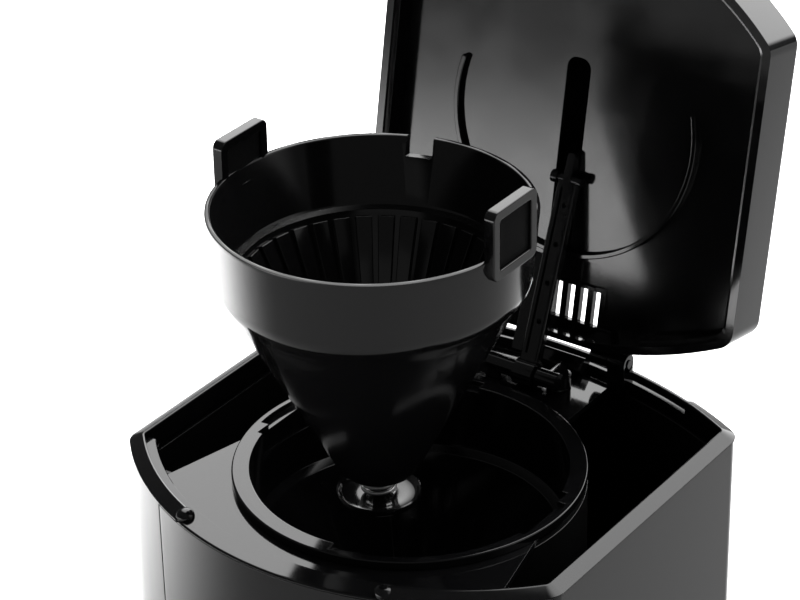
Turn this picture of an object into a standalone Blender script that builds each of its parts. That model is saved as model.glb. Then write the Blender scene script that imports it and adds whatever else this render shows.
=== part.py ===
"""Drip coffee maker with its lid open, its spray arm raised and its filter basket lifted out.

Units below are millimetres, turned into metres by MM. +Z is up, +Y is the back, and the well that
takes the filter basket is centred on X = 0, Y = 0 of the empty "stand".
"""
import math

import bmesh
import bpy

MM = 0.001
GAP = 0.3

# Plan of the body: straight sides, a front arc and a back arc, joined by small round corners.
HALF_WIDTH = 98.0
FRONT_RADIUS = 131.0
FRONT_CENTRE_Y = 38.0
BACK_RADIUS = 195.0
BACK_Y = 107.0
CORNER_RADIUS = 9.0
WALL = 2.5
SHIFT_Y = -21.884

# Heights above the surface that the feet stand on.
FOOT_TOP = 3.7
PLATE_BOTTOM = 4.0
PLATE_TOP = 6.0
BASE_TOP = 46.0
HEAD_BOTTOM = 193.0
DECK_TOP = 316.5
RING_TOP = 320.0
RIM_TOP = 323.0
LID_BOTTOM = 318.0
LID_TOP = 342.0

# Filter basket, seated; heights below its rim.
BASKET_RADIUS = 60.0
BASKET_RIM = RING_TOP - 1.0
BAND_RADIUS = 57.0
BAND_DEPTH = 20.0
SHOULDER_RADIUS = 54.4
SHOULDER_DEPTH = 28.0
CONE_RADIUS = 13.0
CONE_DEPTH = 113.0
VALVE_DEPTH = 121.0
EAR_WIDTH = 28.0
EAR_HEIGHT = 18.0
LIFT = (0.0, -20.2, 119.6)

# Well, the thicker collar round its mouth, and the raised ring on the deck.
WELL_RADIUS = 61.0
COLLAR_RADIUS = 65.0
RING_RADIUS = 68.0
WELL_FLOOR = 195.5
COLLAR_BOTTOM = 304.0

# Lid and spray arm, both drawn closed and then turned about their own axes.
LID_INSET = 12.0
LID_CORNER = 8.0
HINGE_Y = 98.0
HINGE_Z = 327.5
LID_OPEN = math.radians(100.5)
ARM_X = 3.0
ARM_Y = 78.0
ARM_Z = 322.3
ARM_LENGTH = 88.0
ARM_OPEN = math.radians(112.2)
POST_X = 34.0

# Carafe.
CARAFE_RADIUS = 66.0
CARAFE_BOTTOM = 49.6
PLATE_RADIUS = 66.3
BAY_RADIUS = 75.0
COLUMN_FRONT_Y = 20.0

# Front wall: the seams beside the fascia, and the low middle that the lid's tab overhangs.
SEAM_X = 60.0
DIP_X = 46.0

# Smaller fittings: switch, lamp and cord gland by (X, height), hose and riser by (X, Y).
SWITCH_Z = 25.0
BUTTON_X = -4.5
LAMP_X = 7.5
GLAND = (40.0, 20.0)
HOSE = (-26.0, 90.0)
RISER = (14.0, 84.0)

FOOT_PLACES = [(-70.0, -52.0), (70.0, -52.0), (-70.0, 68.0), (70.0, 68.0)]
SCREW_PLACES = [(-84.0, -20.0), (84.0, -20.0), (-84.0, 50.0), (84.0, 50.0)]

for old in list(bpy.data.objects):
    bpy.data.objects.remove(old)
parts = bpy.data.collections.new("drip_coffee_maker")
cutters = bpy.data.collections.new("cutters")
bpy.context.scene.collection.children.link(parts)
bpy.context.scene.collection.children.link(cutters)


def material(name, colour, roughness, metallic=0.0):
    made = bpy.data.materials.new(name)
    made.use_nodes = True
    shader = made.node_tree.nodes["Principled BSDF"]
    shader.inputs["Base Color"].default_value = (*colour, 1.0)
    shader.inputs["Roughness"].default_value = roughness
    shader.inputs["Metallic"].default_value = metallic
    return made


GLOSS_BLACK = material("gloss_black", (0.012, 0.012, 0.013), 0.12)
INNER_BLACK = material("inner_black", (0.015, 0.015, 0.016), 0.3)
MATTE_BLACK = material("matte_black", (0.03, 0.03, 0.032), 0.55)
RUBBER = material("rubber", (0.02, 0.02, 0.02), 0.8)
SILICONE = material("silicone", (0.62, 0.62, 0.6), 0.5)
STEEL = material("steel", (0.6, 0.6, 0.61), 0.25, 1.0)
ALUMINIUM = material("aluminium", (0.7, 0.7, 0.71), 0.4, 1.0)
GLASS = material("glass", (0.85, 0.88, 0.88), 0.03)
LENS = material("lens", (0.5, 0.03, 0.02), 0.1)


def add_object(name, mesh, surface):
    """A new part when it has a surface, and a hidden cutter when it has none."""
    made = bpy.data.objects.new(name, mesh)
    if surface is None:
        cutters.objects.link(made)
        made.hide_render = True
        made.display_type = "WIRE"
    else:
        parts.objects.link(made)
        mesh.materials.clear()
        mesh.materials.append(surface)
    mesh.shade_smooth()
    mesh.set_sharp_from_angle(angle=math.radians(32))
    return made


def mesh_of(curve, name):
    """The closed mesh of a filled or bevelled curve, with its caps welded on."""
    holder = bpy.data.objects.new(name, curve)
    parts.objects.link(holder)
    bpy.context.view_layer.update()
    mesh = bpy.data.meshes.new_from_object(holder.evaluated_get(bpy.context.evaluated_depsgraph_get()))
    mesh.name = name
    bpy.data.objects.remove(holder)
    build = bmesh.new()
    build.from_mesh(mesh)
    bmesh.ops.remove_doubles(build, verts=build.verts, dist=1e-6)
    bmesh.ops.recalc_face_normals(build, faces=build.faces)
    build.to_mesh(mesh)
    build.free()
    return mesh


def slab(name, loops, bottom, top, surface=None):
    """A flat plate between two heights; the first loop is its outline and the others its holes."""
    curve = bpy.data.curves.new(name, "CURVE")
    curve.dimensions = "2D"
    curve.fill_mode = "BOTH"
    curve.extrude = (top - bottom) / 2 * MM
    for loop in loops:
        spline = curve.splines.new("POLY")
        spline.points.add(len(loop) - 1)
        for point, (x, y) in zip(spline.points, loop):
            point.co = (x * MM, y * MM, 0.0, 1.0)
        spline.use_cyclic_u = True
    mesh = mesh_of(curve, name)
    for vertex in mesh.vertices:
        vertex.co.z += (bottom + top) / 2 * MM
    return add_object(name, mesh, surface)


def tube(name, points, radius, surface=None, resolution=2):
    """A round bar along a smooth path through the given points."""
    curve = bpy.data.curves.new(name, "CURVE")
    curve.dimensions = "3D"
    curve.bevel_depth = radius * MM
    curve.bevel_resolution = resolution
    curve.use_fill_caps = True
    spline = curve.splines.new("POLY")
    spline.points.add(len(points) - 1)
    for point, place in zip(spline.points, points):
        point.co = (place[0] * MM, place[1] * MM, place[2] * MM, 1.0)
    return add_object(name, mesh_of(curve, name), surface)


def box(name, low, high, surface=None):
    mesh = bpy.data.meshes.new(name)
    build = bmesh.new()
    bmesh.ops.create_cube(build, size=1.0)
    for vertex in build.verts:
        for axis in range(3):
            middle = (low[axis] + high[axis]) / 2
            vertex.co[axis] = (middle + vertex.co[axis] * (high[axis] - low[axis])) * MM
    build.to_mesh(mesh)
    build.free()
    return add_object(name, mesh, surface)


def turned(name, profile, x=0.0, y=0.0, surface=None, steps=32, closed=True):
    """A profile of (radius, height) points turned about the vertical line through x, y."""
    mesh = bpy.data.meshes.new(name)
    build = bmesh.new()
    points = [build.verts.new((radius * MM, 0.0, height * MM)) for radius, height in profile]
    for first, second in zip(points, points[1:]):
        build.edges.new((first, second))
    if closed:
        build.edges.new((points[-1], points[0]))
    build.to_mesh(mesh)
    build.free()
    made = add_object(name, mesh, surface)
    made.location = (x * MM, y * MM, 0.0)
    screw = made.modifiers.new("turn", "SCREW")
    screw.steps = steps
    screw.render_steps = steps
    screw.use_merge_vertices = True
    screw.merge_threshold = 1e-5
    screw.use_smooth_shade = True
    return made


def rod(name, x, y, bottom, top, radius, surface=None, steps=20):
    """An upright round bar."""
    profile = [(0.0, top), (radius, top), (radius, bottom), (0.0, bottom)]
    return turned(name, profile, x, y, surface, steps, closed=False)


def bar(name, axis, start, end, across, radius, surface=None, steps=16):
    """A round bar lying along X or Y; across holds its other two coordinates."""
    length = end - start
    mesh = bpy.data.meshes.new(name)
    build = bmesh.new()
    bmesh.ops.create_cone(build, cap_ends=True, segments=steps, radius1=radius * MM,
                          radius2=radius * MM, depth=length * MM)
    build.to_mesh(mesh)
    build.free()
    made = add_object(name, mesh, surface)
    middle = (start + end) / 2
    if axis == "X":
        made.rotation_euler = (0.0, math.pi / 2, 0.0)
        made.location = (middle * MM, across[0] * MM, across[1] * MM)
    else:
        made.rotation_euler = (math.pi / 2, 0.0, 0.0)
        made.location = (across[0] * MM, middle * MM, across[1] * MM)
    return made


def combine(part, other, operation):
    """Join, cut or keep the overlap of a part with a helper solid, which then moves with the part."""
    bpy.context.view_layer.update()
    step = part.modifiers.new(operation.lower(), "BOOLEAN")
    step.operation = operation
    step.solver = "EXACT"
    step.object = other
    other.parent = part
    other.matrix_parent_inverse = part.matrix_world.inverted()
    return part


def cut(part, *others):
    for other in others:
        combine(part, other, "DIFFERENCE")
    return part


def join(part, *others):
    for other in others:
        combine(part, other, "UNION")
    return part


def keep(part, other):
    return combine(part, other, "INTERSECT")


def arc(centre_x, centre_y, radius, start, end, steps):
    """Points on an arc, with both ends; angles in degrees."""
    angles = [math.radians(start + (end - start) * step / steps) for step in range(steps + 1)]
    return [(centre_x + radius * math.cos(a), centre_y + radius * math.sin(a)) for a in angles]


def circle(x, y, radius, steps=20):
    return arc(x, y, radius, 0.0, 360.0, steps)[:-1]


def oblong(x0, x1, y0, y1):
    return [(x0, y0), (x1, y0), (x1, y1), (x0, y1)]


def body_outline(inset, least_corner=1.0, front_steps=16, back_steps=12):
    """The body's plan, moved inward by inset, anticlockwise from the right back corner."""
    width = HALF_WIDTH - inset
    front = FRONT_RADIUS - inset
    back = BACK_RADIUS - inset
    back_centre = BACK_Y - BACK_RADIUS
    corner = max(CORNER_RADIUS - inset, least_corner)
    corner_x = width - corner
    front_corner_y = FRONT_CENTRE_Y - math.sqrt((front - corner) ** 2 - corner_x ** 2)
    back_corner_y = back_centre + math.sqrt((back - corner) ** 2 - corner_x ** 2)
    front_tilt = math.degrees(math.atan2(front_corner_y - FRONT_CENTRE_Y, corner_x))
    back_tilt = math.degrees(math.atan2(back_corner_y - back_centre, corner_x))
    points = arc(corner_x, back_corner_y, corner, 0.0, back_tilt, 3)
    points += arc(0.0, back_centre, back, back_tilt, 180.0 - back_tilt, back_steps)[1:-1]
    points += arc(-corner_x, back_corner_y, corner, 180.0 - back_tilt, 180.0, 3)
    points += arc(-corner_x, front_corner_y, corner, 180.0, 180.0 - front_tilt, 3)
    points += arc(0.0, FRONT_CENTRE_Y, front, 180.0 - front_tilt, 360.0 + front_tilt, front_steps)[1:-1]
    points += arc(corner_x, front_corner_y, corner, front_tilt, 0.0, 3)
    return points


def empty(name, x, y, z):
    made = bpy.data.objects.new(name, None)
    parts.objects.link(made)
    made.location = (x * MM, y * MM, z * MM)
    return made


def hang(carrier, *pieces):
    """Parent pieces to an empty that stands on their joint's axis, leaving them where they are."""
    bpy.context.view_layer.update()
    for piece in pieces:
        piece.parent = carrier
        piece.matrix_parent_inverse = carrier.matrix_world.inverted()


def feet():
    for index, (x, y) in enumerate(FOOT_PLACES):
        profile = [(0.0, PLATE_TOP + 0.6), (2.8, PLATE_TOP + 0.6), (2.8, FOOT_TOP), (8.0, FOOT_TOP),
                   (8.5, 1.0), (7.5, 0.0), (0.0, 0.0)]
        turned("foot_%d" % (index + 1), profile, x, y, RUBBER, 16, closed=False)


def base_plate():
    loops = [body_outline(WALL + GAP)]
    loops += [circle(x, y, 3.1, 12) for x, y in FOOT_PLACES]
    loops += [circle(x, y, 1.9, 12) for x, y in SCREW_PLACES]
    loops += [oblong(-30.0, 30.0, y, y + 3.0) for y in (-30.0, -22.0, 44.0, 52.0)]
    slab("base_plate", loops, PLATE_BOTTOM, PLATE_TOP, MATTE_BLACK)


def base_screws():
    for index, (x, y) in enumerate(SCREW_PLACES):
        profile = [(0.0, 18.0), (1.3, 18.0), (1.3, PLATE_BOTTOM - GAP), (3.0, PLATE_BOTTOM - GAP),
                   (3.0, 2.4), (0.0, 2.4)]
        turned("base_screw_%d" % (index + 1), profile, x, y, STEEL, 12, closed=False)


def base_housing():
    made = slab("base_housing", [body_outline(0.0)], PLATE_BOTTOM, BASE_TOP, GLOSS_BLACK)
    cut(made, slab("base_hollow", [body_outline(WALL)], 0.0, BASE_TOP - 3.0))
    for x, y in SCREW_PLACES:
        join(made, rod("screw_boss", x, y, PLATE_TOP + GAP, BASE_TOP - 1.0, 4.0, None, 12))
    for x, y in SCREW_PLACES:
        cut(made, rod("screw_hole", x, y, 0.0, 24.0, 1.6, None, 12))
    cut(made, rod("plate_hole", 0.0, 0.0, 30.0, 60.0, PLATE_RADIUS + 1.2, None, 40))
    cut(made, box("pipe_hole", (-36.0, 79.0, 30.0), (36.0, 101.0, 60.0)))
    cut(made, box("switch_hole", (-13.0, -110.0, SWITCH_Z - 8.0), (13.0, -80.0, SWITCH_Z + 8.0)))
    cut(made, bar("gland_hole", "Y", 90.0, 120.0, GLAND, 5.3))


def switch():
    """The flat bezel in the front wall, its push button and the lamp lens beside it."""
    front = FRONT_CENTRE_Y - FRONT_RADIUS
    low = (-12.6, front - 0.8, SWITCH_Z - 7.6)
    high = (12.6, front + 8.0, SWITCH_Z + 7.6)
    button_place = (BUTTON_X, SWITCH_Z)
    lamp_place = (LAMP_X, SWITCH_Z)
    bezel = box("switch_bezel", low, high, MATTE_BLACK)
    cut(bezel, bar("button_way", "Y", front - 5.0, front + 20.0, button_place, 5.4, None, 20))
    cut(bezel, bar("lens_way", "Y", front - 5.0, front + 20.0, lamp_place, 2.3, None, 12))
    button = bar("power_button", "Y", front - 2.6, front + 9.0, button_place, 5.0, GLOSS_BLACK, 20)
    bar("indicator_lens", "Y", front - 1.2, front + 8.5, lamp_place, 2.0, LENS, 12)
    box("switch_body", (-12.0, front + 12.0, 18.0), (12.0, front + 22.0, 32.0), MATTE_BLACK)
    hang(empty("power_button_axis", BUTTON_X, front, SWITCH_Z), button)


def hot_plate():
    top = CARAFE_BOTTOM - GAP
    profile = [(0.0, top), (64.6, top), (PLATE_RADIUS, top - 1.2), (PLATE_RADIUS, BASE_TOP - 1.5),
               (64.8, BASE_TOP - 1.5), (64.8, top - 1.6), (0.0, top - 1.6)]
    turned("warming_plate", profile, 0.0, 0.0, STEEL, 40, closed=False)
    seal = [(66.6, BASE_TOP + 1.4), (70.5, BASE_TOP + 1.2), (70.5, BASE_TOP + GAP),
            (67.1, BASE_TOP + GAP), (67.1, BASE_TOP - 3.0), (66.6, BASE_TOP - 3.0)]
    turned("plate_seal", seal, 0.0, 0.0, SILICONE, 40)
    horseshoe = [(x, y, 41.4) for x, y in arc(0.0, 0.0, 44.0, 60.0, -240.0, 24)]
    tail = [(24.0, 52.0, 36.0), (26.0, 60.0, 33.0), (26.0, 70.0, 33.0)]
    path = tail[::-1] + horseshoe + [(-x, y, z) for x, y, z in tail]
    tube("heater_tube", path, 4.8, ALUMINIUM)
    rod_path = [(x, y, 42.4) for x, y in arc(0.0, 0.0, 34.0, 55.0, -235.0, 22)]
    tube("heating_element", rod_path, 4.0, ALUMINIUM, 1)
    box("heater_bracket", (-50.0, -8.0, 34.2), (50.0, 8.0, 36.2), STEEL)
    rod("thermostat", 0.0, 0.0, 26.0, 33.9, 9.0, ALUMINIUM, 20)
    bar("thermal_fuse", "X", -9.0, 9.0, (-34.0, 36.0), 2.0, STEEL, 10)


def water_path():
    """The cold hose down from the tank, the one-way valve and the hot riser up to the spray arm."""
    tube("cold_hose", [(*HOSE, 186.0), (*HOSE, 80.0), (*HOSE, 58.0)], 5.0, SILICONE)
    profile = [(0.0, 57.0), (4.0, 57.0), (4.0, 50.0), (6.5, 49.0), (6.5, 38.0), (4.0, 37.0), (4.0, 30.0),
               (0.0, 30.0)]
    valve = turned("one_way_valve", profile, *HOSE, MATTE_BLACK, 16, closed=False)
    join(valve, bar("valve_spout", "Y", 72.0, HOSE[1], (HOSE[0], 33.0), 3.4, None, 12))
    x, y = RISER
    bend = [(26.0, 70.4, 33.0), (26.0, 75.0, 33.0), (21.0, 80.0, 35.0), (16.5, 83.0, 40.0)]
    upright = [(x, y, 48.0), (x, y, 180.0), (x, y, DECK_TOP + 0.5)]
    tube("riser_tube", bend + upright, 4.2, SILICONE)


def column_housing():
    """The back column: it wraps the carafe's round with two side wings."""
    made = slab("column_housing", [body_outline(0.0)], BASE_TOP + GAP, HEAD_BOTTOM - GAP, GLOSS_BLACK)
    cut(made, box("column_front", (-120.0, -120.0, 0.0), (120.0, COLUMN_FRONT_Y, 250.0)))
    cut(made, rod("carafe_bay", 0.0, 0.0, 0.0, 250.0, BAY_RADIUS, None, 48))
    inside = slab("column_hollow", [body_outline(WALL)], 30.0, 210.0)
    cut(inside, box("column_hollow_front", (-120.0, -120.0, 0.0), (120.0, COLUMN_FRONT_Y + WALL, 250.0)))
    cut(inside, rod("column_hollow_bay", 0.0, 0.0, 0.0, 250.0, BAY_RADIUS + WALL, None, 48))
    cut(made, inside)


def head_housing():
    """The head's side and back wall with its raised rim, and the floor that closes it below."""
    made = slab("head_housing", [body_outline(0.0)], HEAD_BOTTOM, RIM_TOP, GLOSS_BLACK)
    cut(made, slab("head_hollow", [body_outline(WALL)], HEAD_BOTTOM + WALL, RIM_TOP + 5.0))
    cut(made, rod("outlet_hole", 0.0, 0.0, 180.0, 210.0, 24.0, None, 32))
    cut(made, rod("hose_hole", *HOSE, 180.0, 210.0, 6.5, None, 16))
    cut(made, rod("riser_hole", *RISER, 180.0, 210.0, 6.5, None, 16))
    cut(made, box("fascia_gap", (-SEAM_X, -120.0, HEAD_BOTTOM + WALL + 1.0), (SEAM_X, -60.0, 340.0)))
    cut(made, box("hinge_gap", (-70.0, 85.0, RIM_TOP - 2.5), (70.0, 120.0, 340.0)))
    for side in (-1, 1):
        x = side * POST_X
        low = (x - 4.0, HINGE_Y - 4.0, DECK_TOP - WALL + 0.2)
        post = box("hinge_post", low, (x + 4.0, HINGE_Y + 5.0, HINGE_Z))
        join(made, post, bar("post_head", "X", x - 4.0, x + 4.0, (HINGE_Y, HINGE_Z), 4.0))
        cut(made, bar("pin_way", "X", x - 6.0, x + 6.0, (HINGE_Y, HINGE_Z), 2.0))
    back = BACK_Y - WALL + 0.5
    join(made, box("hinge_block", (-4.0, HINGE_Y - 4.4, DECK_TOP - WALL + 0.2), (18.0, back, RIM_TOP + 1.0)))
    for low, high, depth in ((-1.5, 5.5, 2.0), (7.5, 15.5, 4.0)):
        near = HINGE_Y - 6.0
        cut(made, box("block_recess", (low, near, RIM_TOP - 4.4), (high, near + 1.6 + depth, RIM_TOP - 0.4)))


def front_fascia():
    """The curved front panel between the two seams, low in its middle where the lid overhangs it."""
    bottom = HEAD_BOTTOM + WALL + 1.0 + GAP
    made = slab("front_fascia", [body_outline(0.0)], bottom, RIM_TOP, GLOSS_BLACK)
    cut(made, slab("fascia_hollow", [body_outline(WALL)], 100.0, RIM_TOP + 5.0))
    keep(made, box("fascia_span", (GAP - SEAM_X, -120.0, 100.0), (SEAM_X - GAP, -60.0, 400.0)))
    cut(made, box("fascia_dip", (-DIP_X, -120.0, DECK_TOP + 0.6), (DIP_X, -60.0, 400.0)))


def fill_opening(side):
    """The cutter for one fill opening: beside the ring, from the front crescent to the back."""
    corners = [(31.0, 120.0), (120.0, 120.0), (120.0, -20.0), (93.2, -28.0), (92.6, -36.0), (90.0, -42.5),
               (86.0, -47.5), (81.0, -51.5), (75.4, -54.2), (62.0, 4.0), (31.0, 20.0)]
    opening = slab("fill_opening", [[(side * x, y) for x, y in corners]], 300.0, 330.0)
    keep(opening, slab("fill_limit", [body_outline(5.2)], 290.0, 340.0))
    cut(opening, rod("fill_ring", 0.0, 0.0, 280.0, 350.0, RING_RADIUS + 0.4, None, 48))
    return opening


def deck():
    loops = [body_outline(WALL + GAP), circle(0.0, 0.0, COLLAR_RADIUS + 0.3, 40)]
    made = slab("deck", loops, DECK_TOP - WALL, DECK_TOP, GLOSS_BLACK)
    cut(made, fill_opening(-1), fill_opening(1))
    for side in (-1, 1):
        x = side * POST_X
        cut(made, box("post_gap", (x - 4.4, HINGE_Y - 4.4, 300.0), (x + 4.4, HINGE_Y + 20.0, 330.0)))
    cut(made, box("block_gap", (-4.4, HINGE_Y - 4.8, 300.0), (18.4, HINGE_Y + 20.0, 330.0)))
    cut(made, rod("riser_gap", *RISER, 300.0, 330.0, 4.6, None, 16))


def brew_well():
    """The funnel under the basket, hung in the deck by its raised ring."""
    outer = WELL_RADIUS + 2.0
    floor = WELL_FLOOR
    profile = [(WELL_RADIUS + 0.6, RING_TOP), (RING_RADIUS - 0.6, RING_TOP), (RING_RADIUS, RING_TOP - 0.6),
               (RING_RADIUS, DECK_TOP + GAP), (COLLAR_RADIUS, DECK_TOP + GAP),
               (COLLAR_RADIUS, COLLAR_BOTTOM),
               (outer, COLLAR_BOTTOM - 4.0), (outer, 288.0), (26.0, 203.0),
               (22.0, 197.0), (22.0, 192.0), (9.0, 190.0), (7.0, 186.0), (5.0, 186.0), (5.0, floor - 1.0),
               (19.5, floor), (20.0, 205.0), (57.0, 289.0), (WELL_RADIUS, 290.0),
               (WELL_RADIUS, RING_TOP - 0.6)]
    made = turned("brew_well", profile, 0.0, 0.0, GLOSS_BLACK, 40)
    low = (-BASKET_RADIUS - 1.7, -EAR_WIDTH / 2 - 0.6, RING_TOP - 11.6)
    cut(made, box("ear_recess", low, (BASKET_RADIUS + 1.7, EAR_WIDTH / 2 + 0.6, 340.0)))
    for start in (-82.0, 98.0):
        channel = arc(0.0, 0.0, 65.6, start, start + 89.0, 12) + arc(0.0, 0.0, 50.0, start + 89.0, start, 8)
        cut(made, slab("ear_channel", [channel], RING_TOP - 2.4, 340.0))


def water_tank():
    """The reservoir round the back and sides of the well, open under the two fill openings."""
    made = slab("water_tank", [body_outline(WALL + 1.0)], 198.0, DECK_TOP - WALL - GAP, INNER_BLACK)
    cut(made, box("tank_front", (-120.0, -120.0, 100.0), (120.0, -50.0, 400.0)))
    cut(made, rod("tank_well", 0.0, 0.0, 100.0, 400.0, 65.5, None, 40))
    inside = slab("tank_hollow", [body_outline(WALL + 3.5)], 201.0, 400.0)
    cut(inside, box("tank_hollow_front", (-120.0, -120.0, 100.0), (120.0, -47.5, 500.0)))
    cut(inside, rod("tank_hollow_well", 0.0, 0.0, 100.0, 500.0, 68.0, None, 40))
    cut(inside, rod("riser_sleeve", *RISER, 100.0, 500.0, 8.0, None, 16))
    cut(made, inside)
    cut(made, rod("sleeve_way", *RISER, 190.0, 500.0, 5.6, None, 16))
    cut(made, rod("tank_drain", *HOSE, 190.0, 210.0, 3.0, None, 12))
    spout = [(3.0, 200.0), (5.0, 200.0), (5.0, 187.0), (3.0, 187.0)]
    join(made, turned("drain_spout", spout, *HOSE, None, 12))


def lid_outline(inset):
    return body_outline(LID_INSET + inset, LID_CORNER - inset)


def steam_slots():
    """The cutters for the row of narrow slots near the hinge, which pass through liner and lid."""
    slots = []
    for index in range(4):
        x = 1.0 + 6.4 * index
        slots.append(box("steam_slot", (x, HINGE_Y - 24.5, 300.0), (x + 3.0, HINGE_Y - 13.5, 360.0)))
    return slots


def lid():
    shell = slab("lid_shell", [lid_outline(0.0)], LID_BOTTOM, LID_TOP, GLOSS_BLACK)
    bevel = shell.modifiers.new("round_top", "BEVEL")
    bevel.width = 2.5 * MM
    bevel.segments = 2
    bevel.limit_method = "ANGLE"
    bevel.angle_limit = math.radians(60)
    tab = box("lid_tab", (-44.0, FRONT_CENTRE_Y - FRONT_RADIUS + 1.0, LID_BOTTOM + 1.0),
              (44.0, -70.0, LID_BOTTOM + 7.0))
    keep(tab, slab("tab_limit", [body_outline(1.0)], 300.0, 350.0))
    join(shell, tab)
    hollow = slab("lid_hollow", [lid_outline(2.2)], LID_BOTTOM - 10.0, LID_TOP - 2.2)
    cut(hollow, box("lid_back_wall", (-120.0, HINGE_Y - 7.5, 300.0), (120.0, 140.0, 360.0)))
    cut(shell, hollow)
    cut(shell, box("lid_back", (-120.0, HINGE_Y - 5.0, 300.0), (120.0, 140.0, 360.0)))
    cut(shell, *steam_slots())
    for side in (-1, 1):
        x = side * (POST_X - 8.4)
        low = (x - 4.0, HINGE_Y - 12.0, HINGE_Z - 2.5)
        arm = box("knuckle_arm", low, (x + 4.0, HINGE_Y, HINGE_Z + 2.5))
        join(shell, arm, bar("knuckle_eye", "X", x - 4.0, x + 4.0, (HINGE_Y, HINGE_Z), 3.8))
        cut(shell, bar("knuckle_way", "X", x - 6.0, x + 6.0, (HINGE_Y, HINGE_Z), 2.0))
        ends = sorted((side * (POST_X - 13.0), side * (POST_X + 4.5)))
        name = "lid_pin_left" if side < 0 else "lid_pin_right"
        bar(name, "X", *ends, (HINGE_Y, HINGE_Z), 1.8, STEEL, 16)
    return shell


def lid_liner():
    """The lid's inner panel, with the spray arm's guide slot, ear pockets and steam slots."""
    bottom = LID_BOTTOM + 10.4
    made = slab("lid_liner", [lid_outline(2.2 + GAP)], bottom, bottom + 2.0, GLOSS_BLACK)
    cut(made, box("liner_back", (-120.0, HINGE_Y - 12.0, 300.0), (120.0, 140.0, 360.0)))
    slot = box("arm_slot", (ARM_X - 6.0, HINGE_Y - 118.0, 300.0), (ARM_X + 6.0, HINGE_Y - 35.0, 360.0))
    cut(made, slot)
    for side in (-1, 1):
        x = side * (BASKET_RADIUS + 3.0)
        cut(made, box("ear_pocket", (x - 5.0, -20.0, 300.0), (x + 5.0, 20.0, 360.0)))
    return cut(made, *steam_slots())


def spray_arm():
    """The arm that swings over the basket: a hub on the pivot pipe, a hollow bar and spray holes."""
    tip = ARM_Y - ARM_LENGTH
    axis = (ARM_Y, ARM_Z)
    high = (ARM_X + 4.5, ARM_Y, ARM_Z + 3.0)
    arm = box("spray_arm", (ARM_X - 4.5, tip, ARM_Z - 1.8), high, GLOSS_BLACK)
    join(arm, bar("arm_hub", "X", ARM_X - 4.5, ARM_X + 4.5, axis, 5.4, None, 20))
    low = (ARM_X - 9.0, ARM_Y - 48.0, ARM_Z - 1.2)
    join(arm, box("arm_flange", low, (ARM_X, ARM_Y - 8.0, ARM_Z + 1.2)))
    cut(arm, bar("arm_bore", "X", ARM_X - 12.0, ARM_X + 12.0, axis, 4.0, None, 20))
    cut(arm, bar("arm_channel", "Y", tip + 6.0, ARM_Y - 2.0, (ARM_X, ARM_Z + 0.6), 1.4, None, 10))
    for index in range(5):
        cut(arm, rod("spray_hole", ARM_X, tip + 10.0 + 7.0 * index, ARM_Z - 6.0, ARM_Z, 1.1, None, 8))
    cross = (tip + 2.6, ARM_Z + 0.6)
    cut(arm, bar("cross_pin_way", "X", ARM_X - 10.0, ARM_X + 10.0, cross, 1.6, None, 12))
    pin = bar("arm_cross_pin", "X", ARM_X - 8.8, ARM_X + 8.8, cross, 1.3, STEEL, 12)
    return arm, pin


def pivot_pipe():
    """The fixed cross pipe that feeds the arm and carries its hub."""
    pipe = bar("pivot_pipe", "X", -15.0, RISER[0] + 3.6, (ARM_Y, ARM_Z), 3.7, MATTE_BLACK, 20)
    join(pipe, rod("pipe_foot", RISER[0], RISER[1], DECK_TOP + 0.8, ARM_Z, 5.0, None, 16))
    join(pipe, bar("pipe_elbow", "Y", ARM_Y, RISER[1] + 2.0, (RISER[0], ARM_Z), 3.6))
    join(pipe, box("pipe_stay", (-14.5, ARM_Y - 3.0, DECK_TOP + GAP), (-8.0, ARM_Y + 3.0, ARM_Z)))


def basket_profile():
    """The wall's outside going down, then its inside going up."""
    rim = BASKET_RIM
    band = rim - BAND_DEPTH
    shoulder = rim - SHOULDER_DEPTH
    outlet = rim - CONE_DEPTH
    outside = [(BASKET_RADIUS - 0.5, rim), (BASKET_RADIUS, rim - 0.6), (BAND_RADIUS, band),
               (BAND_RADIUS - 0.8, band - 4.5), (SHOULDER_RADIUS, shoulder), (CONE_RADIUS, outlet)]
    inside = [(3.2, outlet), (3.2, outlet + 3.0), (CONE_RADIUS - 2.0, outlet + 3.0),
              (SHOULDER_RADIUS - 4.0, shoulder + 1.5), (BAND_RADIUS - 2.2, band - 1.0),
              (BASKET_RADIUS - 2.2, rim)]
    return outside + inside


def filter_basket():
    made = turned("filter_basket", basket_profile(), 0.0, 0.0, GLOSS_BLACK, 40)
    rim = BASKET_RIM
    cut(made, box("rim_notch", (-22.2, 40.0, rim - 8.0), (-12.2, 70.0, rim + 5.0)))
    for side in (-1, 1):
        middle = side * (BASKET_RADIUS - 1.0)
        half = EAR_WIDTH / 2
        ear = box("ear", (middle - 2.2, -half, rim - 10.0), (middle + 2.2, half, rim + EAR_HEIGHT))
        pocket = sorted((middle + side * 0.4, middle + side * 6.0))
        low = (pocket[0], 4.0 - half, rim - 6.0)
        cut(ear, box("ear_pocket", low, (pocket[1], half - 4.0, rim + EAR_HEIGHT - 4.0)))
        pocket = sorted((middle - side * 0.8, middle - side * 6.0))
        low = (pocket[0], 4.0 - half, rim + 1.0)
        cut(ear, box("inner_ear_pocket", low, (pocket[1], half - 4.0, rim + EAR_HEIGHT - 4.0)))
        join(made, ear)
    return made


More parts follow.
